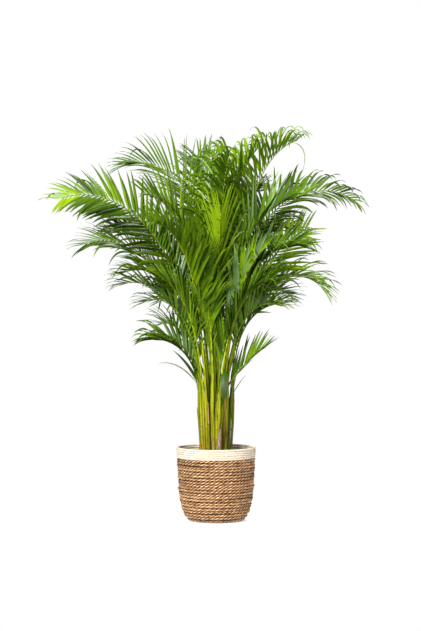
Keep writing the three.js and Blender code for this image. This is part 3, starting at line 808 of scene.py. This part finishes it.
def leaflet_points(frond, side, chance):
    """All leaflets on one side of a rib, as rings of four points from root to tip.

    A leaflet sets off ahead, sideways and up from the rib, and bends down by its sag times the
    cube of the share of its length. It is folded along its middle like a shallow roof, and turns
    a little about it on the way.
    """
    blade = 1 - frond["stalk"]
    count = max(9, round(frond["length"] * blade / LEAFLET_SPACING))
    share = (np.arange(count) + 0.5 + 0.25 * side + chance.uniform(-0.12, 0.12, count)) / count
    share = share.clip(0.004, 0.996)
    along = frond["stalk"] + blade * share
    ahead, upper, right = rib_sides(frond, along)
    open_angle = OPEN_AT_FOOT + (OPEN_AT_TIP - OPEN_AT_FOOT) * share ** 1.2
    open_angle = open_angle * frond["spread"] + chance.normal(0, 2.5, count)
    open_angle = np.radians(open_angle)[:, None]
    lift = np.radians(frond["lift"] + chance.normal(0, 5, count))[:, None]
    off = (ahead * np.cos(open_angle)
           + right * side * np.cos(lift) * np.sin(open_angle)
           + upper * np.sin(lift) * np.sin(open_angle))
    length = leaflet_length(frond, share) * chance.normal(1, 0.05, count).clip(0.85, 1.1)
    sag = frond["sag"] + frond["droop"] * share ** 2
    sag = sag * np.exp(chance.normal(0, 0.25, count)).clip(0.85, 1.8)
    limp = chance.random(count) < LIMP_SHARE * (frond["length"] > 0.45)
    sag = np.where(limp, sag + LIMP_SAG, sag)
    out = (np.arange(LEAFLET_STEPS) + 0.5) / LEAFLET_STEPS
    step = off[:, None, :] - np.array([0, 0, 1.0]) * (sag[:, None] * out ** 3)[:, :, None]
    step /= np.linalg.norm(step, axis=-1, keepdims=True)
    line = np.cumsum(step * (length / LEAFLET_STEPS)[:, None, None], axis=1)
    line = rib_point(frond, along)[:, None, :] + np.concatenate([np.zeros((count, 1, 3)), line], axis=1)
    direction = np.concatenate([step, step[:, -1:]], axis=1)
    across = square_to(direction, ahead[:, None, :])
    above = np.cross(direction, across) * side
    reach = np.linspace(0, 1, LEAFLET_STEPS + 1)
    twist = np.radians(chance.normal(0, 11, count))[:, None, None] * reach[None, :, None]
    across, above = (across * np.cos(twist) + above * np.sin(twist),
                     above * np.cos(twist) - across * np.sin(twist))
    width = LEAFLET_HALF_WIDTH * frond["wide"] * np.minimum(1, length / 0.15)
    width = width * chance.normal(1, 0.08, count).clip(0.8, 1.2)
    half = (width[:, None] * blade_outline(reach, 0.30, 3.2))[:, :, None]
    return folded_rings(line, across, above, half, reach)


def leaflet_shapes(rings, side):
    """Closed blades from rings of four points: sides from ring to ring, and a point at the tip."""
    count, steps = rings.shape[:2]
    body = rings[:, :-1].reshape(count, -1, 3)
    points = np.concatenate([body, rings[:, -1].mean(1)[:, None]], axis=1)
    last = (steps - 2) * 4
    ends = [[last + corner, last + (corner + 1) % 4, last + 4] for corner in range(4)]
    root = [3, 2, 1, 0]
    if side < 0:
        ends, root = [end[::-1] for end in ends], root[::-1]
    faces = lattice(steps - 1, 4, False, True, side < 0) + ends + [root]
    return [(one, faces) for one in points]


def leaf_material(name, dark, light, glow, roughness):
    """Leaflet skin: one tone, darker and lighter in soft patches, with light glowing through it."""
    material, tree, shader = new_material(name, roughness, 0.26)
    place = object_place(tree)
    patches = stretched_noise(tree, place, 9, (1, 1, 1), 3)
    colour = ramp(tree, patches, [(0.36, dark), (0.64, light)])
    tree.links.new(colour, shader.inputs["Base Color"])
    veins = stretched_noise(tree, place, 220, (1, 1, 1), 3)
    bumped(tree, shader, veins, 0.10, 0.0005)
    through = tree.nodes.new("ShaderNodeBsdfTranslucent")
    through.inputs["Color"].default_value = (*glow, 1)
    mix = tree.nodes.new("ShaderNodeMixShader")
    mix.inputs["Fac"].default_value = LIGHT_THROUGH
    output = tree.nodes["Material Output"]
    tree.links.new(shader.outputs["BSDF"], mix.inputs[1])
    tree.links.new(through.outputs["BSDF"], mix.inputs[2])
    tree.links.new(mix.outputs["Shader"], output.inputs["Surface"])
    return material


# dark and light colour of each tone's skin, colour of the light through it, and its roughness
LEAF_TONES = {
    "bright": ((0.19, 0.32, 0.003), (0.30, 0.45, 0.005), (0.42, 0.55, 0.006), 0.40),
    "fresh": ((0.14, 0.28, 0.003), (0.25, 0.41, 0.004), (0.32, 0.47, 0.006), 0.38),
    "mid": ((0.090, 0.195, 0.003), (0.175, 0.305, 0.004), (0.22, 0.37, 0.006), 0.36),
    "deep": ((0.054, 0.121, 0.003), (0.104, 0.204, 0.004), (0.14, 0.27, 0.005), 0.34),
    "dark": ((0.017, 0.044, 0.002), (0.044, 0.096, 0.003), (0.06, 0.13, 0.004), 0.34),
    "pale": ((0.13, 0.26, 0.06), (0.24, 0.38, 0.14), (0.26, 0.40, 0.08), 0.40),
}
NEAR_TONES = {"bright": ["fresh"], "fresh": ["bright", "mid"], "mid": ["fresh", "deep"],
              "deep": ["mid", "dark"], "dark": ["deep"], "pale": ["fresh"]}
# the ribs' skins, as for the canes: bright is the yellow of bright leaves' ribs, and painted light on ribs in
# front and on top
RIB_SKINS = {
    "bright": ((0.17, 0.145, 0.008), (0.29, 0.37, 0.006), (0.22, 0.25, 0.006), (0.6, 0.5, 0.3)),
    "green": ((0.14, 0.13, 0.008), (0.13, 0.21, 0.006), (0.14, 0.185, 0.006), (0.6, 0.5, 0.3)),
}

leaf_skins = {tone: leaf_material(f"leaf_{tone}", *colours) for tone, colours in LEAF_TONES.items()}
fronds = {name: read_frond(row) for name, row in FRONDS.items()}
rib_shapes = {skin: [] for skin in RIB_SKINS}
tone_shapes = {tone: [] for tone in LEAF_TONES}
for name, frond in fronds.items():
    # ribs of bright leaves are yellow; ribs in front and on top get the same yellow skin as painted light
    yellow_or_lit = frond["tone"] in ("bright", "fresh", "pale") or name.startswith(("front", "top"))
    rib_shapes["bright" if yellow_or_lit else "green"].append(rib_shape(frond))
    for side in (1, -1):
        blades = leaflet_shapes(leaflet_points(frond, side, frond_chance), side)
        for place, blade in enumerate(blades):
            tone = frond["tone"] if place < TIP_START * len(blades) else frond["tip"]
            if frond_chance.random() < STRAY_TONES:
                tone = frond_chance.choice(NEAR_TONES[tone])
            tone_shapes[tone].append(blade)
for tone, shapes in tone_shapes.items():
    make_piece(f"leaflets_{tone}", shapes, leaf_skins[tone],
               [f"frond_{name}" for name, frond in fronds.items() if frond["tone"] == tone], smooth=False)
for skin, colours in RIB_SKINS.items():
    make_piece(f"ribs_{skin}", rib_shapes[skin], stem_material(f"rib_{skin}", *colours))


# Dry sheaths and loose leaves
# Old sheaths dry to pinkish grey, tan and rust, and curl off the stalks that they clasped. A few
# single leaflets stand or hang loose, some broad and dark, some thin and dry.

HUSK_STAND_OFF = 0.0104
HUSK_RADIUS = 0.0068
HUSK_WALL = 0.0008
loose_chance = np.random.default_rng(61)


def husk_shape(row):
    """A dried sheath curled round a stalk: an arc of a tube that narrows to a point on top.

    At share s of its height it turns 1 - s^2 of its half turn to either side of its facing, and
    stands off by its gape times s^2. A few waves make its edge uneven.
    """
    index, seat, low, high, facing, half_turn, gape = row
    place = cane_place(index)
    share = np.linspace(0, 1, 16)[:, None, None]
    turn = np.linspace(-1, 1, 9)[None, :, None]
    ragged = 1 + soft_wave(share * 6, loose_chance, 0.10)
    angle = np.radians(facing + half_turn * turn * (1 - 0.96 * share ** 2) * ragged)
    first, second = across_axes(place["axis"])
    centre = place["foot"] + place["axis"] * (low + (high - low) * share)
    centre = centre + seat_direction(place, seat) * HUSK_STAND_OFF
    out = np.cos(angle) * first + np.sin(angle) * second
    outer = centre + out * (HUSK_RADIUS + gape * share ** 2)
    inner = centre + out * (HUSK_RADIUS - HUSK_WALL + gape * share ** 2)
    points = np.concatenate([outer, inner[:, ::-1]], axis=1)
    return points.reshape(-1, 3), capped_faces(*points.shape[:2])


def loose_leaf(row):
    """A single leaflet from a rib, at root + 2t(1-t) bend + t^2 tip for t from 0 to 1.

    It is folded along its middle, turns its upper side to the front, and narrows at both ends.
    """
    carrier, along, bend, tip, half_width = row
    reach = np.linspace(0, 1, LEAFLET_STEPS + 1)
    share = reach[:, None]
    line = rib_point(fronds[carrier], np.array([along]))
    line = line + 2 * share * (1 - share) * np.array(bend) + share ** 2 * np.array(tip)
    direction = np.gradient(line, axis=0)
    direction /= np.linalg.norm(direction, axis=1, keepdims=True)
    across = np.cross([0.0, -1.0, -0.6], direction)
    across /= np.linalg.norm(across, axis=1, keepdims=True)
    half = half_width * blade_outline(reach, 0.25, 3)[:, None]
    return leaflet_shapes(folded_rings(line, across, np.cross(direction, across), half, reach)[None], 1)[0]


def husk_material(name, dark, light):
    """Dry sheath: papery, with fine streaks up and down it between a dark and a light colour."""
    stops = [(0.35, dark), (0.62, light)]
    return grained_material(name, (0.75, 0.2), (1.0, (420, 420, 22), 5), stops, (0.5, 0.0008))


# dark and light colour, then for each sheath its cane and seat, height of foot and tip over the
# soil, facing, half turn, and gape
HUSKS = {
    "grey": ((0.13, 0.070, 0.050), (0.42, 0.30, 0.25), [
        (15, 0, 0.002, 0.128, -62, 88, 0.004), (10, 0, 0.001, 0.050, -60, 70, 0.004),
        (11, 0, 0.002, 0.110, 90, 80, 0.003), (3, 2, 0.002, 0.080, 60, 80, 0.003)]),
    "tan": ((0.17, 0.095, 0.035), (0.42, 0.28, 0.13), [
        (12, 1, 0.140, 0.225, -75, 26, 0.001), (7, 0, 0.001, 0.090, -90, 55, 0.002),
        (8, 1, 0.010, 0.150, 60, 60, 0.003), (14, 0, 0.100, 0.200, 150, 50, 0.003)]),
    "rust": ((0.20, 0.045, 0.012), (0.55, 0.19, 0.045), [
        (9, 0, 0.001, 0.070, -110, 70, 0.003), (13, 0, 0.212, 0.248, -110, 40, 0.001),
        (14, 2, 0.002, 0.060, 120, 70, 0.003), (10, 1, 0.100, 0.200, -90, 26, 0.001)]),
}
for tone, (dark, light, rows) in HUSKS.items():
    make_piece(f"husks_{tone}", [husk_shape(row) for row in rows],
               husk_material(f"husk_{tone}", dark, light))

# the frond that carries it and the share along its rib, pull of its bend, its tip, half its width
make_piece("loose_leaves_dark", [loose_leaf(row) for row in [
    ("left_bottom", 0.02, (-0.034, -0.020, 0.080), (-0.096, -0.045, 0.130), 0.0068),
    ("front_right", 0.20, (0.004, -0.045, -0.045), (-0.004, -0.040, -0.132), 0.0165),
]], leaf_skins["dark"], smooth=False)
make_piece("loose_leaves_pale", [loose_leaf(row) for row in [
    ("top_right", 0.98, (0.075, 0.000, -0.018), (0.026, -0.010, -0.142), 0.0020),
    ("front_pale", 0.85, (0.050, -0.030, 0.090), (0.075, -0.040, -0.010), 0.0018),
    ("front_pale", 0.60, (0.030, -0.040, 0.030), (0.090, -0.050, -0.060), 0.0018),
    ("front_pale", 0.97, (0.060, -0.030, 0.060), (0.105, -0.030, -0.040), 0.0018),
    ("front_low_right", 0.80, (0.050, -0.010, 0.070), (0.095, -0.010, -0.020), 0.0018),
    ("side_mid_right", 0.55, (0.020, -0.020, 0.070), (0.070, -0.020, 0.000), 0.0016),
    ("front_low_left", 0.30, (-0.020, -0.030, 0.050), (0.030, -0.040, 0.030), 0.0016),
]], leaf_skins["pale"], smooth=False)
make_piece("loose_leaves_dry", [loose_leaf(row) for row in [
    ("left_bottom", 0.00, (-0.074, -0.020, 0.105), (-0.155, -0.030, 0.083), 0.0034),
    ("side_low_right", 0.02, (0.004, -0.010, 0.045), (0.021, -0.010, 0.094), 0.0024),
    ("side_low_right", 0.00, (0.022, -0.010, 0.044), (0.049, -0.010, 0.072), 0.0020),
]], husk_material("dry_leaf", (0.10, 0.12, 0.05), (0.26, 0.28, 0.17)), smooth=False)


# Floor, light and camera
# A plain pale floor and a white surround, soft light from all sides with a broad lamp above the
# front left, and the camera level with the middle of the plant.

GROUND_HALF = 0.55
GROUND_DROP = 0.002
GROUND_GLOW = 0.45
ROOM_LIGHT = 0.22
# each lamp's place, its aim, its size and its power
LAMPS = {
    "front_left": ((-2.4, -3.4, 3.4), (0, 0, 0.8), 0.9, 350),
    "front_fill": ((-1.4, -4.6, 1.8), (0, 0, 0.6), 1.2, 135),
    "right_fill": ((3.0, -2.6, 1.9), (0, 0, 0.6), 1.6, 90),
    "back_top": ((0.6, 2.6, 3.6), (0, 0, 0.9), 1.8, 130),
}
CAMERA_PLACE = (-0.0205, -5.5, 0.755)
CAMERA_LENS = 84.8


def stage_floor():
    """A square level sheet just under the basket, off-white and matte."""
    half = GROUND_HALF
    corners = [(x, y, -GROUND_DROP) for x, y in ((-half, -half), (half, -half), (half, half), (-half, half))]
    mesh = bpy.data.meshes.new("studio_floor")
    mesh.from_pydata(corners, [], [(0, 1, 2, 3)])
    material, _, shader = new_material("studio_floor", 0.9, 0.1)
    shader.inputs["Base Color"].default_value = (0.85, 0.85, 0.85, 1)
    shader.inputs["Emission Color"].default_value = (1, 1, 1, 1)
    shader.inputs["Emission Strength"].default_value = GROUND_GLOW
    mesh.materials.append(material)
    floor = placed("studio_floor", mesh)


def add_lamp(name, place, aim, size, power):
    """A square soft lamp at a place, turned to face its aim."""
    lamp = bpy.data.lights.new(name, "AREA")
    lamp.size = size
    lamp.energy = power
    holder = placed(name, lamp)
    place, aim = np.array(place, float), np.array(aim, float)
    away = (place - aim) / np.linalg.norm(place - aim)
    holder.location = place
    holder.rotation_euler = (np.arccos(away[2]), 0, np.arctan2(away[0], -away[1]))


def white_surround():
    """A world that is plain white to the camera, and lights the plant with a part of that."""
    world = bpy.data.worlds.new("studio")
    world.use_nodes = True
    tree = world.node_tree
    seen = tree.nodes.new("ShaderNodeLightPath").outputs["Is Camera Ray"]
    level = tree.nodes.new("ShaderNodeMapRange")
    level.inputs["To Min"].default_value = ROOM_LIGHT
    tree.nodes["Background"].inputs["Color"].default_value = (1, 1, 1, 1)
    tree.links.new(seen, level.inputs["Value"])
    tree.links.new(level.outputs["Result"], tree.nodes["Background"].inputs["Strength"])
    bpy.context.scene.world = world


stage_floor()
white_surround()
for name, lamp in LAMPS.items():
    add_lamp(name, *lamp)

camera_data = bpy.data.cameras.new("camera")
camera_data.lens = CAMERA_LENS
camera = placed("camera", camera_data)
camera.location = CAMERA_PLACE
camera.rotation_euler = (np.pi / 2, 0, 0)
bpy.context.scene.camera = camera
bpy.context.scene.view_settings.view_transform = "Standard"
